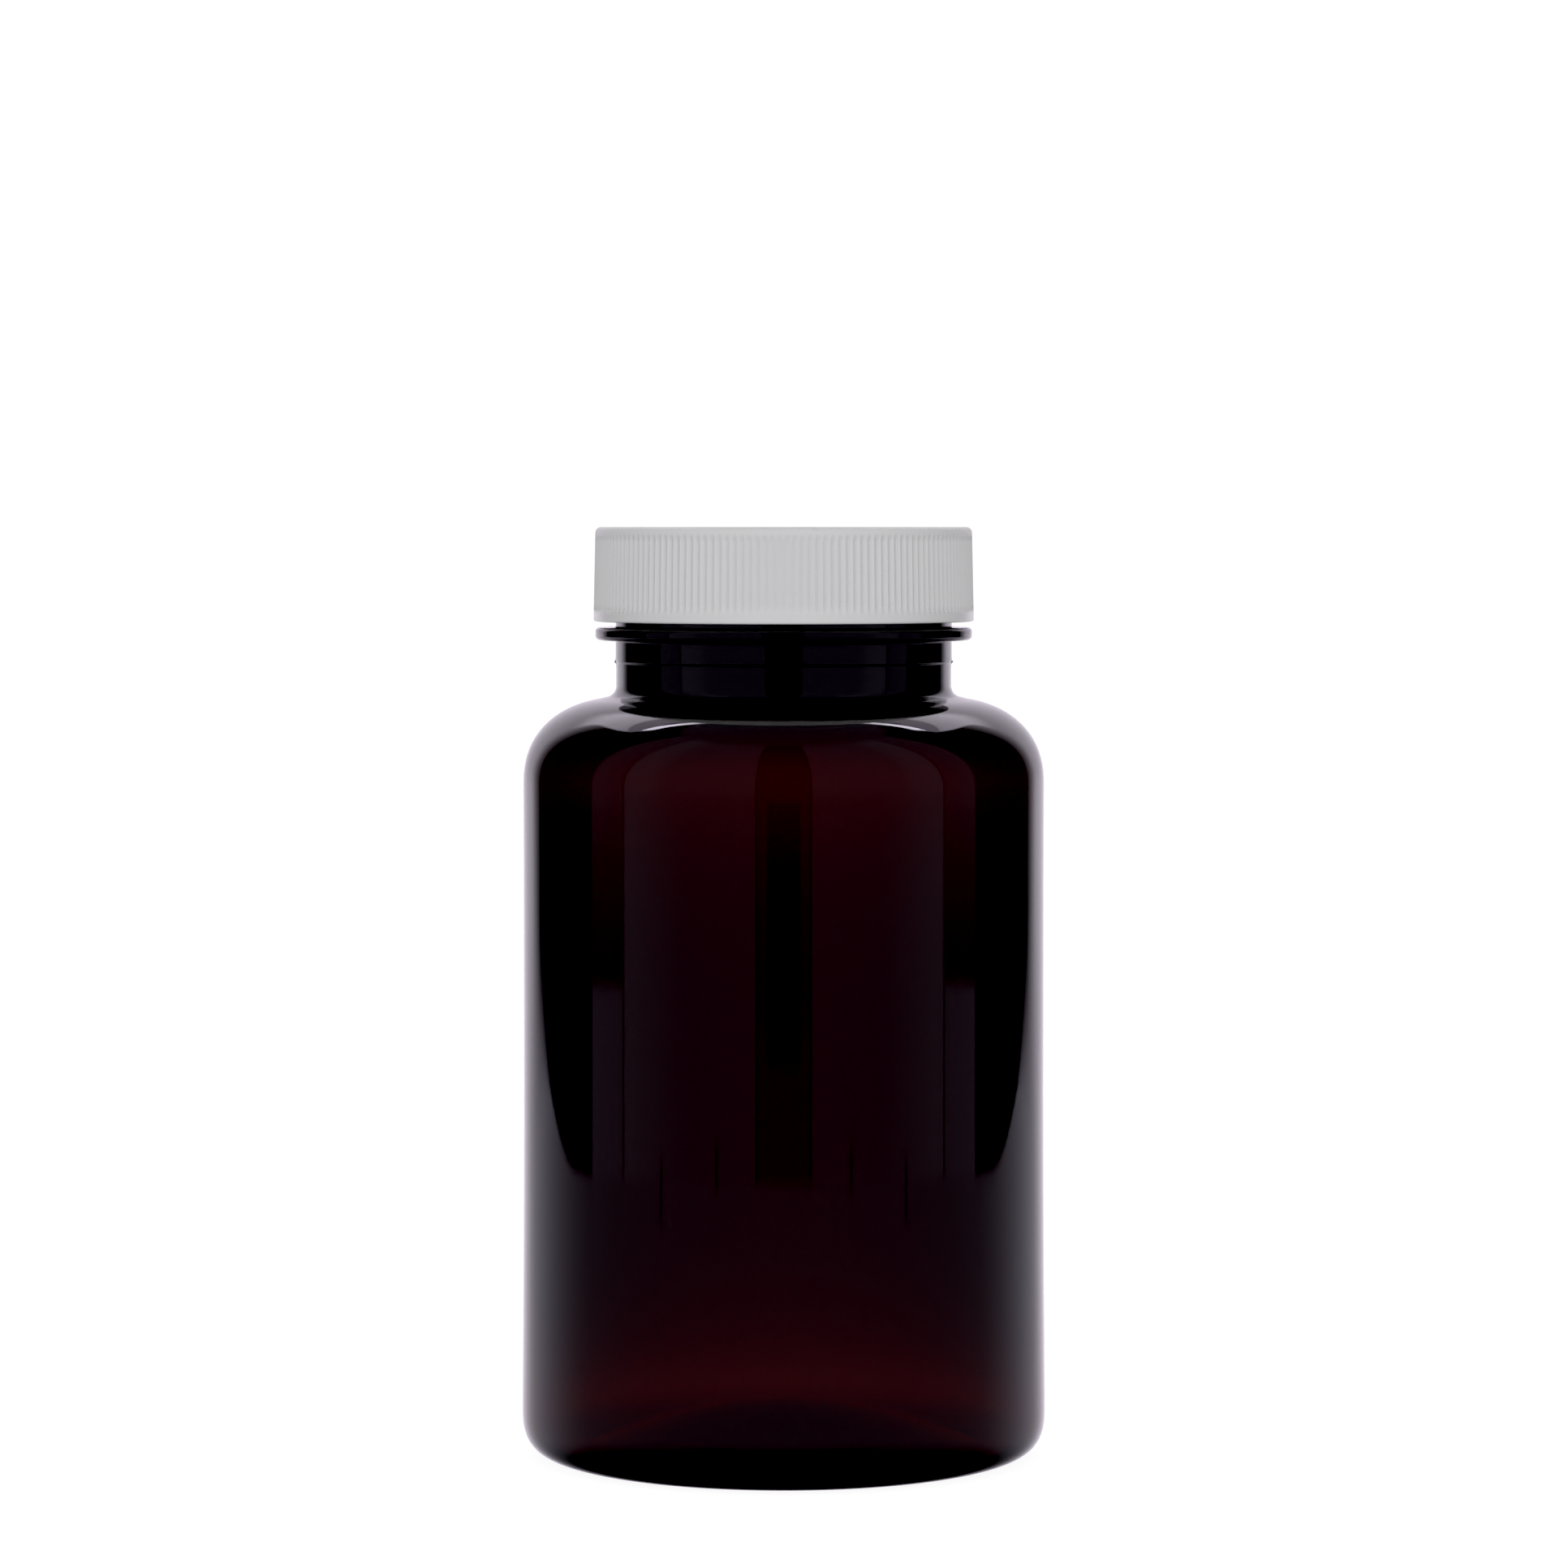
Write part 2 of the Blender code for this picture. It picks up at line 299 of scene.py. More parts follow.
def push_up(count, lift=0.0):
    """The domed middle of the base, from its edge to the axis. The underside, which has no lift,
    also has the gate's nub and a shallow ring groove."""
    points = []
    for i in range(count, -1, -1):
        radius = PUSH_UP_RADIUS * i / count
        high = PUSH_UP_HIGH - (PUSH_UP_HIGH - PUSH_UP_LOW) * (radius / PUSH_UP_RADIUS) ** 2
        if not lift:
            high -= GATE_HEIGHT * (1 - smooth(radius, 0.55 * GATE_RADIUS, GATE_RADIUS))
            half = BASE_GROOVE_WIDTH / 2
            across = smooth(radius, BASE_GROOVE - half, BASE_GROOVE + half)
            high += BASE_GROOVE_DEPTH * sin(pi * across) ** 2
        points.append((radius, high + lift))
    return points


def body_side():
    """The outer side from the heel to the shoulder."""
    points = []
    for i in range(1, 40):
        height = HEEL_HEIGHT + (PANEL_HIGH - HEEL_HEIGHT) * i / 39
        along = min(max(height, BUMPER_TOP), PANEL_LOW)
        left = (PANEL_LOW - along) / (PANEL_LOW - BUMPER_TOP)
        points.append((PANEL_RADIUS + (BUMPER_RADIUS - PANEL_RADIUS) * left**2, height))
    corner = (BODY_RADIUS, SHOULDER_TOP - SHOULDER_HEIGHT)
    return points + line(points[-1], corner, 4)


def bottle_outside():
    """From the middle of the push-up out and up to the rim."""
    heel = (BUMPER_RADIUS - STANDING_OUTER, HEEL_HEIGHT)
    corner = (BODY_RADIUS - SHOULDER_WIDTH, SHOULDER_TOP - SHOULDER_HEIGHT)
    shoulder = (SHOULDER_WIDTH, SHOULDER_HEIGHT)
    neck = (NECK_RADIUS + NECK_FILLET, SHOULDER_TOP + NECK_FILLET)
    ring = RING_RADIUS - RING_EDGE
    edge, fillet = (RING_EDGE, RING_EDGE), (RING_FILLET, RING_FILLET)
    under = (FINISH_RADIUS + RING_FILLET, RING_LOW - RING_FILLET)
    over = (FINISH_RADIUS + RING_FILLET, RING_HIGH + RING_FILLET)
    rim = (FINISH_RADIUS - RIM_EDGE, RIM_TOP - RIM_EDGE)
    neck_top = (NECK_RADIUS, PARTING_LOW - 0.3 * MM)
    step = []
    for i in range(15):
        height = neck_top[1] + 0.06 * MM * i
        share = smooth(height, PARTING_LOW, PARTING_HIGH)
        step.append((NECK_RADIUS + (FINISH_RADIUS - NECK_RADIUS) * share, height))
    thread_low, thread_high = (FINISH_RADIUS, over[1]), (FINISH_RADIUS, rim[1])
    return [
        *with_relief(reversed(push_up(30))),
        *with_relief([(STANDING_INNER - 0.12 * MM, 0.06 * MM), (STANDING_INNER + 0.1 * MM, 0)]),
        *with_relief([(STANDING_OUTER - 0.2 * MM, 0)]),
        *with_relief(arc((STANDING_OUTER, HEEL_HEIGHT), heel, 270, 360, 26, HEEL_SQUARENESS), seam),
        *with_relief(body_side(), seam),
        *with_relief(arc(corner, shoulder, 0, SHOULDER_CUT, 34, SHOULDER_SQUARENESS), seam),
        *with_relief(arc(neck, (NECK_FILLET, NECK_FILLET), 262, 180, 9), seam),
        *with_relief(line((NECK_RADIUS, neck[1]), neck_top, 3), seam),
        *with_relief(step, parting),
        *with_relief(line((FINISH_RADIUS, PARTING_HIGH + 0.3 * MM), (FINISH_RADIUS, under[1]), 7)),
        *with_relief(arc(under, fillet, 180, 90, 5)),
        *with_relief(arc((ring, RING_LOW + RING_EDGE), edge, 270, 360, 7)),
        *with_relief(arc((ring, RING_HIGH - RING_EDGE), edge, 0, 90, 7)),
        *with_relief(arc(over, fillet, 270, 180, 5)),
        *with_relief(line(thread_low, thread_high, 40), bottle_thread),
        *with_relief(arc(rim, (RIM_EDGE, RIM_EDGE), 0, 90, 6)),
    ]


def bottle_inside():
    """From the rim down the bore, the shoulder and the wall to the middle of the floor."""
    heel_wall = body_wall(HEEL_HEIGHT)
    heel = (BUMPER_RADIUS - STANDING_OUTER - heel_wall, HEEL_HEIGHT - FLOOR_WALL)
    top_wall = body_wall(SHOULDER_TOP - SHOULDER_HEIGHT)
    shoulder = (SHOULDER_WIDTH - top_wall, SHOULDER_HEIGHT - SHOULDER_WALL)
    corner = (BODY_RADIUS - SHOULDER_WIDTH, SHOULDER_TOP - SHOULDER_HEIGHT)
    flare_low = corner[1] + shoulder[1]
    rim = (BORE_RADIUS + RIM_EDGE, RIM_TOP - RIM_EDGE)
    flare = (BORE_RADIUS + BORE_FLARE, BORE_LOW)
    points = [
        *arc(rim, (RIM_EDGE, RIM_EDGE), 90, 180, 6),
        *line((BORE_RADIUS, rim[1]), (BORE_RADIUS, BORE_LOW), 10),
        *arc(flare, (BORE_FLARE, BORE_LOW - flare_low), 180, 270, 12),
        *arc(corner, shoulder, SHOULDER_CUT, 0, 30, SHOULDER_SQUARENESS),
        *[(radius - body_wall(height), height) for radius, height in reversed(body_side())],
        *arc((STANDING_OUTER, HEEL_HEIGHT), heel, 360, 270, 22, HEEL_SQUARENESS),
        *push_up(24, FLOOR_WALL),
    ]
    return with_relief(points)


def bottle_columns():
    """Even columns, with narrow ones where the seams and the nibs are."""
    angles = set(even_angles(BOTTLE_COLUMNS))
    for degrees in NIB_ANGLES:
        for offset in (-0.9, -0.6, -0.3, -0.15, 0, 0.15, 0.3, 0.6, 0.9):
            angles.add(radians(degrees + offset) % tau)
    kept = []
    for angle in sorted(angles):
        if not kept or angle - kept[-1] > radians(0.05):
            kept.append(angle)
    return kept


def make_bottle():
    return lathe("amber_bottle", bottle_outside() + bottle_inside(), bottle_columns())


# ---------------------------------------------------------------- cap


def cap_side(height):
    share = (height - CAP_BOTTOM) / (CAP_TOP - CAP_BOTTOM)
    return CAP_RADIUS_LOW + (CAP_RADIUS_HIGH - CAP_RADIUS_LOW) * share


def ribs(angle, height):
    """The grooves between the grip ribs: rounded crests that fade out above and below."""
    groove = (0.5 - 0.5 * cos(RIBS * angle)) ** 0.8
    fade = smooth(height, RIB_LOW - RIB_FADE / 2, RIB_LOW + RIB_FADE / 2)
    fade *= 1 - smooth(height, RIB_HIGH - RIB_FADE / 2, RIB_HIGH + RIB_FADE / 2)
    return -RIB_DEPTH * groove * fade


def cap_thread(angle, height):
    start = tau * (CAP_THREAD_LOW - BOTTLE_THREAD_LOW + CAP_THREAD_DROP) / PITCH
    depth = CAP_BORE - CAP_CREST
    return -ridge(angle, height, CAP_THREAD_LOW, CAP_THREAD_TURNS, depth, start)


def cap_top():
    """The flat top, from the axis out, with the moulding gate's shallow dimple."""
    radii = [0, 0.5, 0.8, 1.1, 1.4, 1.7, 2.0, 4, 7, 10, 13, 16, 18.5, 20.5, 22]
    points = []
    for radius in radii:
        dimple = 0.18 * MM * (1 - smooth(radius, 1.0, 1.6))
        nub = 0.14 * MM * (1 - smooth(radius, 0.4, 0.9))
        points.append((radius * MM, CAP_TOP - dimple + nub))
    return points


def make_cap():
    edge = (CAP_RADIUS_HIGH - CAP_EDGE, CAP_TOP - CAP_EDGE)
    side_top = CAP_TOP - CAP_EDGE - 0.04 * MM
    heights = [side_top - (side_top - CAP_BOTTOM - 0.3 * MM) * i / 29 for i in range(30)]
    side = [(cap_side(height), height) for height in heights]
    foot = (CAP_RADIUS_LOW - 0.25 * MM, CAP_BOTTOM + 0.25 * MM)
    panel = CAP_TOP - CAP_PANEL
    bore_low, bore_high = CAP_BOTTOM + 0.6 * MM, LINER_BOTTOM - 1.3 * MM
    bore = [(CAP_BORE, bore_low + (bore_high - bore_low) * i / 31) for i in range(32)]
    mouth = [
        (CAP_MOUTH + 0.1 * MM, CAP_BOTTOM),
        (CAP_MOUTH, CAP_BOTTOM + 0.1 * MM),
        (CAP_MOUTH, CAP_BOTTOM + 0.3 * MM),
    ]
    bead = [
        (BEAD_RADIUS + 0.15 * MM, LINER_BOTTOM - 0.95 * MM),
        (BEAD_RADIUS, LINER_BOTTOM - 0.65 * MM),
        (BEAD_RADIUS, LINER_BOTTOM - 0.45 * MM),
        (CAP_BORE, LINER_BOTTOM - 0.1 * MM),
        (CAP_BORE, panel),
    ]
    outline = [
        *with_relief(cap_top()),
        *with_relief(arc(edge, (CAP_EDGE, CAP_EDGE), 90, 0, 8)),
        *with_relief(side, ribs),
        *with_relief(arc(foot, (0.25 * MM, 0.25 * MM), 0, -90, 4)),
        *with_relief(mouth),
        *with_relief(bore, cap_thread),
        *with_relief(bead),
        *with_relief([(radius * MM, panel) for radius in (18, 12, 6, 2)]),
        (0, panel, None),
    ]
    return lathe("white_cap", outline[::-1], even_angles(RIBS * CAP_COLUMNS_PER_RIB))


# ---------------------------------------------------------------- liner


def make_liner():
    outer = LINER_RADIUS - LINER_EDGE
    edge = (LINER_EDGE, LINER_EDGE)
    under = []
    for i in range(27):
        radius = outer * i / 27
        dent = smooth(radius, BORE_RADIUS - 0.4 * MM, BORE_RADIUS + 0.3 * MM)
        dent *= 1 - smooth(radius, FINISH_RADIUS - 0.3 * MM, FINISH_RADIUS + 0.4 * MM)
        under.append((radius, LINER_BOTTOM + LINER_DENT * dent))
    outline = [
        *with_relief(under),
        *with_relief(arc((outer, LINER_BOTTOM + LINER_EDGE), edge, -90, 0, 4)),
        *with_relief(arc((outer, LINER_TOP - LINER_EDGE), edge, 0, 90, 4)),
        *with_relief([(radius * MM, LINER_TOP) for radius in (19, 14, 9, 4)]),
        (0, LINER_TOP, None),
    ]
    return lathe("foam_liner", outline, even_angles(LINER_COLUMNS))


# ---------------------------------------------------------------- node helpers


class Nodes:
    """A short way to write node trees: every method adds a node and returns its output."""

    def __init__(self, tree):
        self.tree = tree
        tree.nodes.clear()

    def add(self, kind, **settings):
        node = self.tree.nodes.new(kind)
        for name, value in settings.items():
            setattr(node, name, value)
        return node

    def feed(self, socket, value):
        if isinstance(value, bpy.types.NodeSocket):
            self.tree.links.new(value, socket)
        else:
            socket.default_value = value

    def math(self, operation, *values):
        node = self.add("ShaderNodeMath", operation=operation)
        for socket, value in zip(node.inputs, values):
            self.feed(socket, value)
        return node.outputs[0]

    def ramp(self, value, start, stop, low=0.0, high=1.0):
        """low at start, high at stop, with an S curve between them."""
        node = self.add("ShaderNodeMapRange", interpolation_type="SMOOTHSTEP")
        for socket, item in zip(node.inputs, (value, start, stop, low, high)):
            self.feed(socket, item)
        return node.outputs[0]

    def edge(self, value, place, blur, low=0.0, high=1.0):
        """low below a place and high above it, across a blurred edge."""
        return self.ramp(value, place - blur / 2, place + blur / 2, low, high)

    def band(self, value, start, stop, blur):
        """1 between start and stop, and 0 outside them."""
        return self.both(self.edge(value, start, blur), self.edge(value, stop, blur, 1.0, 0.0))

    def both(self, *masks):
        """1 only where every mask is 1."""
        result = masks[0]
        for mask in masks[1:]:
            result = self.math("MULTIPLY", result, mask)
        return result

    def mix(self, factor, first, second):
        node = self.add("ShaderNodeMix", data_type="FLOAT")
        self.feed(node.inputs[0], factor)
        self.feed(node.inputs[2], first)
        self.feed(node.inputs[3], second)
        return node.outputs[0]

    def mix_colour(self, factor, first, second):
        node = self.add("ShaderNodeMix", data_type="RGBA")
        self.feed(node.inputs[0], factor)
        self.feed(node.inputs[6], first)
        self.feed(node.inputs[7], second)
        return node.outputs[2]

    def noise(self, where, scale, detail=2.0, roughness=0.5):
        node = self.add("ShaderNodeTexNoise")
        self.feed(node.inputs["Vector"], where)
        node.inputs["Scale"].default_value = scale
        node.inputs["Detail"].default_value = detail
        node.inputs["Roughness"].default_value = roughness
        return node.outputs[0]

    def stretched(self, where, scale):
        node = self.add("ShaderNodeMapping")
        self.feed(node.inputs["Vector"], where)
        node.inputs["Scale"].default_value = scale
        return node.outputs[0]

    def bump(self, height, depth, below=None):
        node = self.add("ShaderNodeBump")
        node.inputs["Strength"].default_value = 1.0
        node.inputs["Distance"].default_value = depth
        self.feed(node.inputs["Height"], height)
        if below:
            self.feed(node.inputs["Normal"], below)
        return node.outputs[0]


def new_material(name):
    material = bpy.data.materials.new(name)
    material.use_nodes = True
    return material, Nodes(material.node_tree)


# ---------------------------------------------------------------- materials


def amber_pet():
    """Dark amber PET: clear and glossy at its surface, and tinted through its thickness. The
    surface has the faint waviness of a blown wall, and light scuffs from filling lines."""
    material, n = new_material("amber_pet")
    place = n.add("ShaderNodeTexCoord").outputs["Object"]
    haze = n.noise(place, 90.0, 3.0)
    scuffs = n.noise(n.stretched(place, (260.0, 260.0, 2400.0)), 1.0, 4.0, 0.7)
    scuffs = n.ramp(scuffs, 0.62, 0.8)
    rough = n.math("ADD", n.ramp(haze, 0.3, 0.7, 0.012, 0.03), n.math("MULTIPLY", scuffs, 0.05))
    wavy = n.noise(n.stretched(place, (55.0, 55.0, 28.0)), 1.0, 1.0)
    peel = n.noise(place, 900.0, 1.0)
    normal = n.bump(peel, 0.0000005, n.bump(wavy, 0.000012))
    shader = n.add("ShaderNodeBsdfPrincipled")
    shader.inputs["Base Color"].default_value = (1.0, 1.0, 1.0, 1.0)
    shader.inputs["IOR"].default_value = 1.575
    shader.inputs["Transmission Weight"].default_value = 1.0
    n.feed(shader.inputs["Roughness"], rough)
    n.feed(shader.inputs["Normal"], normal)
    tint = n.add("ShaderNodeVolumeAbsorption")
    tint.inputs["Color"].default_value = (0.495, 0.112, 0.0, 1.0)
    tint.inputs["Density"].default_value = 5900.0
    output = n.add("ShaderNodeOutputMaterial")
    n.feed(output.inputs["Surface"], shader.outputs[0])
    n.feed(output.inputs["Volume"], tint.outputs[0])
    return material


def white_polypropylene():
    """White moulded PP: satin, slightly waxy, with the mould's spark-eroded grain, faint flow
    clouds, and a glossier band below the ribs."""
    material, n = new_material("white_polypropylene")
    place = n.add("ShaderNodeTexCoord").outputs["Object"]
    clouds = n.noise(place, 60.0, 3.0)
    specks = n.ramp(n.noise(place, 1400.0, 2.0), 0.68, 0.78)
    colour = n.mix_colour(clouds, (0.79, 0.79, 0.80, 1.0), (0.82, 0.815, 0.82, 1.0))
    colour = n.mix_colour(n.math("MULTIPLY", specks, 0.25), colour, (0.66, 0.66, 0.66, 1.0))
    grain = n.noise(place, 5200.0, 2.0)
    rough = n.ramp(n.noise(place, 350.0, 3.0), 0.3, 0.75, 0.36, 0.5)
    split = n.add("ShaderNodeSeparateXYZ")
    n.feed(split.inputs[0], place)
    rough = n.mix(n.ramp(split.outputs[2], RIB_LOW - 0.3 * MM, RIB_LOW), 0.22, rough)
    shader = n.add("ShaderNodeBsdfPrincipled")
    n.feed(shader.inputs["Base Color"], colour)
    n.feed(shader.inputs["Roughness"], rough)
    n.feed(shader.inputs["Normal"], n.bump(grain, 0.000006))
    shader.inputs["IOR"].default_value = 1.49
    shader.inputs["Subsurface Weight"].default_value = 0.12
    shader.inputs["Subsurface Radius"].default_value = (1.0, 0.9, 0.8)
    shader.inputs["Subsurface Scale"].default_value = 0.0006
    output = n.add("ShaderNodeOutputMaterial")
    n.feed(output.inputs["Surface"], shader.outputs[0])
    return material


def liner_foam():
    """Closed-cell polyethylene foam: matte off-white, with small cells."""
    material, n = new_material("liner_foam")
    place = n.add("ShaderNodeTexCoord").outputs["Object"]
    cells = n.add("ShaderNodeTexVoronoi")
    n.feed(cells.inputs["Vector"], place)
    cells.inputs["Scale"].default_value = 2600.0
    bubble = cells.outputs["Distance"]
    colour = n.mix_colour(bubble, (0.84, 0.83, 0.80, 1.0), (0.74, 0.73, 0.69, 1.0))
    shader = n.add("ShaderNodeBsdfPrincipled")
    n.feed(shader.inputs["Base Color"], colour)
    n.feed(shader.inputs["Roughness"], n.ramp(bubble, 0.0, 1.0, 0.62, 0.85))
    n.feed(shader.inputs["Normal"], n.bump(bubble, 0.00003))
    output = n.add("ShaderNodeOutputMaterial")
    n.feed(output.inputs["Surface"], shader.outputs[0])
    return material


# ---------------------------------------------------------------- studio


def studio_world():
    """The room as light. Rays that the plastic reflects see the studio: two wide grey panels
    beside the camera, a dark gap at each side, and a bright sweep with two lamps behind. Rays
    that pass through the bottle see the white sweep all round, and diffuse light is soft."""
    world = bpy.data.worlds.new("studio")
    bpy.context.scene.world = world
    world.use_nodes = True
    n = Nodes(world.node_tree)
    split = n.add("ShaderNodeSeparateXYZ")
    n.feed(split.inputs[0], n.add("ShaderNodeTexCoord").outputs["Generated"])
    x, y, z = split.outputs
    side = n.math("ABSOLUTE", x)
    azimuth = n.math("DEGREES", n.math("ARCTAN2", side, n.math("MULTIPLY", y, -1.0)))
    elevation = n.math("DEGREES", n.math("ARCSINE", z))
    room, sweep = reflected_room(n, azimuth, elevation)
    tint = n.mix_colour(sweep, PANEL_TINT, SWEEP_TINT)
    rays = n.add("ShaderNodeLightPath")
    shaders = [
        background(n, SOFT_TINT, soft_light(n, x, y, z)),
        background(n, tint, room),
        background(n, WHITE, THROUGH_LIGHT),
        background(n, WHITE, BACKDROP_LIGHT),
    ]
    flags = ("Is Glossy Ray", "Is Transmission Ray", "Is Camera Ray")
    result = shaders[0]
    for flag, shader in zip(flags, shaders[1:]):
        mixed = n.add("ShaderNodeMixShader")
        n.feed(mixed.inputs[0], rays.outputs[flag])
        n.feed(mixed.inputs[1], result)
        n.feed(mixed.inputs[2], shader)
        result = mixed.outputs[0]
    output = n.add("ShaderNodeOutputWorld")
    n.feed(output.inputs["Surface"], result)


def background(n, colour, strength):
    node = n.add("ShaderNodeBackground")
    n.feed(node.inputs["Color"], colour)
    n.feed(node.inputs["Strength"], strength)
    return node.outputs[0]


def reflected_room(n, azimuth, elevation):
    """How bright the studio is in a direction, and how much of that is the white sweep. Both
    sides are the same."""
    light = front_panels(n, azimuth, elevation)
    light = n.mix(n.edge(azimuth, STRIP_EDGE, 1.2), light, SIDE_LIGHT)
    white = n.ramp(elevation, -4.0, 3.0, 0.93, 0.8)
    white = n.ramp(azimuth, 137.0, 150.0, 0.13, white)
    sweep = n.edge(azimuth, SWEEP_EDGE, 2.0)
    light = n.mix(sweep, light, white)
    light = lamps(n, azimuth, elevation, light)
    light = n.mix(n.edge(elevation, CEILING_EDGE, 6.0), light, CEILING_LIGHT)
    light = studio_floor(n, azimuth, elevation, light)
    for place, bottom, top in PANEL_FEET:
        across = n.band(azimuth, place - 0.5, place + 0.5, 0.4)
        foot = n.both(across, n.band(elevation, bottom, top, 0.2))
        light = n.mix(foot, light, FOOT_LIGHT)
    return light, sweep


def front_panels(n, azimuth, elevation):
    """Two wide panels beside the camera, brighter towards their far edges, with a narrow strip
    past each. The camera and its own dark gap are between them, and their edges are dark."""
    even = n.ramp(azimuth, 40.0, 74.0, PANEL_LIGHT, PANEL_SIDE_LIGHT)
    top = n.ramp(azimuth, 53.0, 61.0, PANEL_TOP_LIGHT, PANEL_TOP_SIDE_LIGHT)
    light = n.mix(n.ramp(elevation, -2.8, -1.2), even, top)
    gap = n.edge(azimuth, GAP_EDGE, 1.2, 1.0, 0.0)
    over_table = n.ramp(elevation, -7.0, -6.4)
    light = n.mix(n.both(gap, over_table), light, GAP_LOW_LIGHT)
    light = n.mix(n.both(gap, n.ramp(elevation, -5.5, -5.0)), light, GAP_LIGHT)
    core = n.edge(azimuth, CORE_EDGE, 1.2, 1.0, 0.0)
    light = n.mix(n.both(core, n.band(elevation, -5.5, -2.6, 0.3)), light, CORE_LIGHT)
    inner_frame = n.band(azimuth, GAP_EDGE - 0.4, GAP_EDGE + 0.4, 0.4)
    light = n.mix(n.both(inner_frame, over_table), light, FRAME_LIGHT)
    light = n.mix(n.band(azimuth, PANEL_EDGE - 0.5, PANEL_EDGE + 0.5, 0.5), light, 0.1)
    dim = n.ramp(elevation, -4.6, -2.6, 0.1, 0.18)
    strip = n.edge(elevation, -4.75, 0.2, STRIP_LIGHT, dim)
    return n.mix(n.ramp(azimuth, 74.9, 75.4), light, strip)


def lamps(n, azimuth, elevation, light):
    """A soft lamp over the sweep at each side, with a thin bright tube along its top."""
    start = n.ramp(elevation, 34.0, 54.0, 147.0, 120.0)
    inside = n.ramp(n.math("SUBTRACT", azimuth, start), -1.5, 1.5)
    stop = n.ramp(azimuth, 159.0, 168.0, 1.0, 0.0)
    tall = n.both(n.ramp(elevation, 26.0, 37.0), n.ramp(elevation, 48.0, 51.0, 1.0, 0.0))
    light = n.mix(n.both(inside, stop, tall), light, LAMP_LIGHT)
    rim = n.both(n.band(azimuth, 122.0, 150.0, 3.0), n.band(elevation, 49.5, 57.0, 2.0))
    light = n.mix(rim, light, LAMP_RIM_LIGHT)
    slanted = n.math("MULTIPLY_ADD", azimuth, -0.33, elevation)
    tube = n.both(n.band(slanted, 12.6, 16.4, 1.0), n.band(azimuth, 123.0, 154.0, 3.0))
    return n.mix(tube, light, TUBE_LIGHT)


def studio_floor(n, azimuth, elevation, light):
    """The floor below the room: dim in front, where it fades to dark near the vial as painted
    shade, and as white as the sweep behind, which it runs into without an edge."""
    edge = n.ramp(azimuth, 104.0, 170.0, -6.45, -3.85)
    blur = n.ramp(azimuth, 124.0, 150.0, 0.05, 2.2)
    below = n.ramp(n.math("DIVIDE", n.math("SUBTRACT", edge, elevation), blur), -1.0, 1.0)
    floor = n.ramp(azimuth, 92.0, 150.0, 0.2, 0.6)
    floor = n.mix(n.ramp(azimuth, 140.0, 165.0), floor, 0.95)
    # painted shade: the floor goes dark the steeper a ray looks down, towards the vial's foot
    faded = n.ramp(azimuth, 20.0, 150.0, -13.0, -40.0)
    floor = n.math("MULTIPLY", floor, n.ramp(elevation, -9.2, faded, 1.0, 0.0))
    return n.mix(below, light, floor)


def soft_light(n, x, y, z):
    """Soft studio light, stronger from the front and the back, and a little from above."""
    light = n.math("MULTIPLY_ADD", z, SOFT_ABOVE, SOFT_LIGHT)
    light = n.math("MULTIPLY_ADD", x, SOFT_RIGHT, light)
    return n.math("MULTIPLY_ADD", n.math("ABSOLUTE", y), SOFT_FRONT, light)


def stage_disc(name, radius, height):
    """A flat disc of the set, with an empty material to fill in."""
    mesh = bpy.data.meshes.new(name)
    points = [(radius * cos(a), radius * sin(a), height) for a in even_angles(96)]
    mesh.from_pydata(points, [], [tuple(range(len(points)))])
    disc = bpy.data.objects.new(name, mesh)
    bpy.context.scene.collection.objects.link(disc)
    material, n = new_material(name)
    mesh.materials.append(material)
    return disc, n


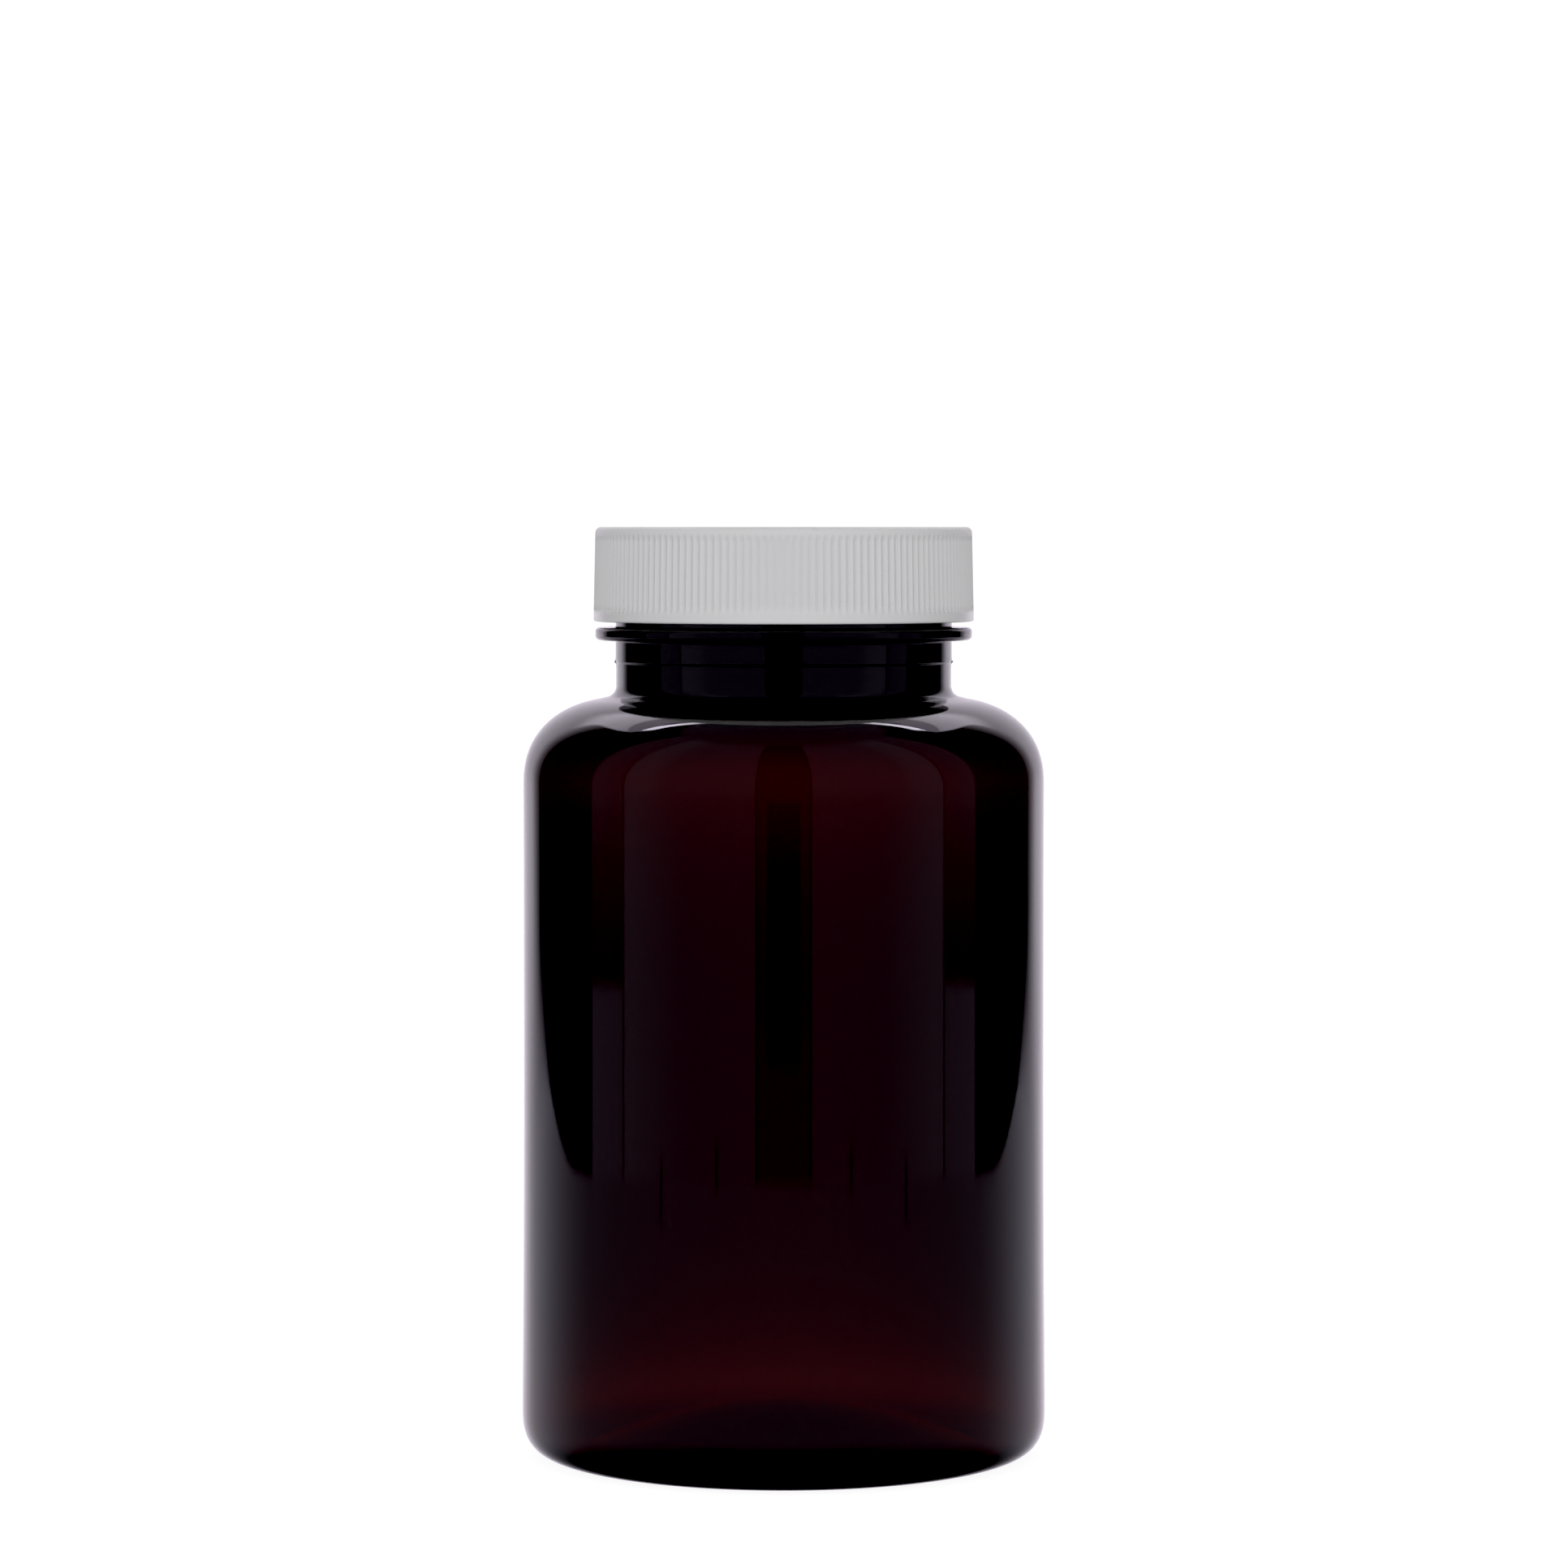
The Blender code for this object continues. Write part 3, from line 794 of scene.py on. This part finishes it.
def make_floor():
    """A pale floor that only the camera sees, and only from above."""
    floor, n = stage_disc("pale_floor", FLOOR_RADIUS, 0.0)
    grain = n.noise(n.add("ShaderNodeTexCoord").outputs["Object"], 30.0, 2.0)
    diffuse = n.add("ShaderNodeBsdfDiffuse")
    n.feed(diffuse.inputs["Color"], n.mix_colour(grain, (0.2, 0.2, 0.2, 1), (0.22, 0.22, 0.22, 1)))
    glow = n.add("ShaderNodeEmission")
    glow.inputs["Strength"].default_value = FLOOR_LIGHT
    lit = n.add("ShaderNodeAddShader")
    n.feed(lit.inputs[0], diffuse.outputs[0])
    n.feed(lit.inputs[1], glow.outputs[0])
    both = n.add("ShaderNodeMixShader")
    n.feed(both.inputs[0], n.add("ShaderNodeNewGeometry").outputs["Backfacing"])
    n.feed(both.inputs[1], lit.outputs[0])
    n.feed(both.inputs[2], n.add("ShaderNodeBsdfTransparent").outputs[0])
    output = n.add("ShaderNodeOutputMaterial")
    n.feed(output.inputs["Surface"], both.outputs[0])
    floor.visible_transmission = False
    floor.visible_glossy = False
    floor.visible_diffuse = False
    floor.visible_shadow = False


def make_painted_shadow():
    """A painted shadow: the patch of floor that the vial keeps dark, drawn as a glowing disc that
    fades to black under the vial. It is seen only through the bottle's base, so the floor round the
    vial stays even."""
    shade, n = stage_disc("painted_shadow_floor", SHADE_OUTER, -0.05 * MM)
    reach = n.add("ShaderNodeVectorMath", operation="LENGTH")
    n.feed(reach.inputs[0], n.add("ShaderNodeTexCoord").outputs["Object"])
    glow = n.add("ShaderNodeEmission")
    # painted shadow: no glow under the vial, rising to the floor's glow at the disc's edge
    light = n.ramp(reach.outputs["Value"], SHADE_INNER, SHADE_OUTER, 0.0, FLOOR_LIGHT)
    n.feed(glow.inputs["Strength"], light)
    output = n.add("ShaderNodeOutputMaterial")
    n.feed(output.inputs["Surface"], glow.outputs[0])
    shade.visible_camera = False
    shade.visible_glossy = False
    shade.visible_diffuse = False
    shade.visible_shadow = False


def make_camera():
    camera = bpy.data.objects.new("camera", bpy.data.cameras.new("camera"))
    bpy.context.scene.collection.objects.link(camera)
    camera.location = (0, -CAMERA_DISTANCE, CAMERA_HEIGHT)
    camera.rotation_euler = (radians(90 - CAMERA_PITCH), 0, 0)
    camera.data.lens = CAMERA_LENS
    camera.data.sensor_width = 36
    camera.data.shift_x = CAMERA_SHIFT_X
    camera.data.shift_y = CAMERA_SHIFT_Y
    camera.data.clip_start = 0.01
    bpy.context.scene.camera = camera


def grade():
    """Plain display colours, with the deepest shadows pressed to black."""
    view = bpy.context.scene.view_settings
    view.view_transform = "Standard"
    view.use_curve_mapping = True
    view.curve_mapping.black_level = (BLACK_LEVEL,) * 3
    view.curve_mapping.update()


def place(obj, node, body, slot, material):
    obj.data.materials.append(material)
    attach(obj, body)
    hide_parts(node)


place(make_bottle(), "bottle", "bottle", "amber_pet", amber_pet())
place(make_cap(), "cap", "cap", "white_polypropylene", white_polypropylene())
place(make_liner(), "liner", "liner", "liner_foam", liner_foam())
studio_world()
make_floor()
make_painted_shadow()
make_camera()
grade()
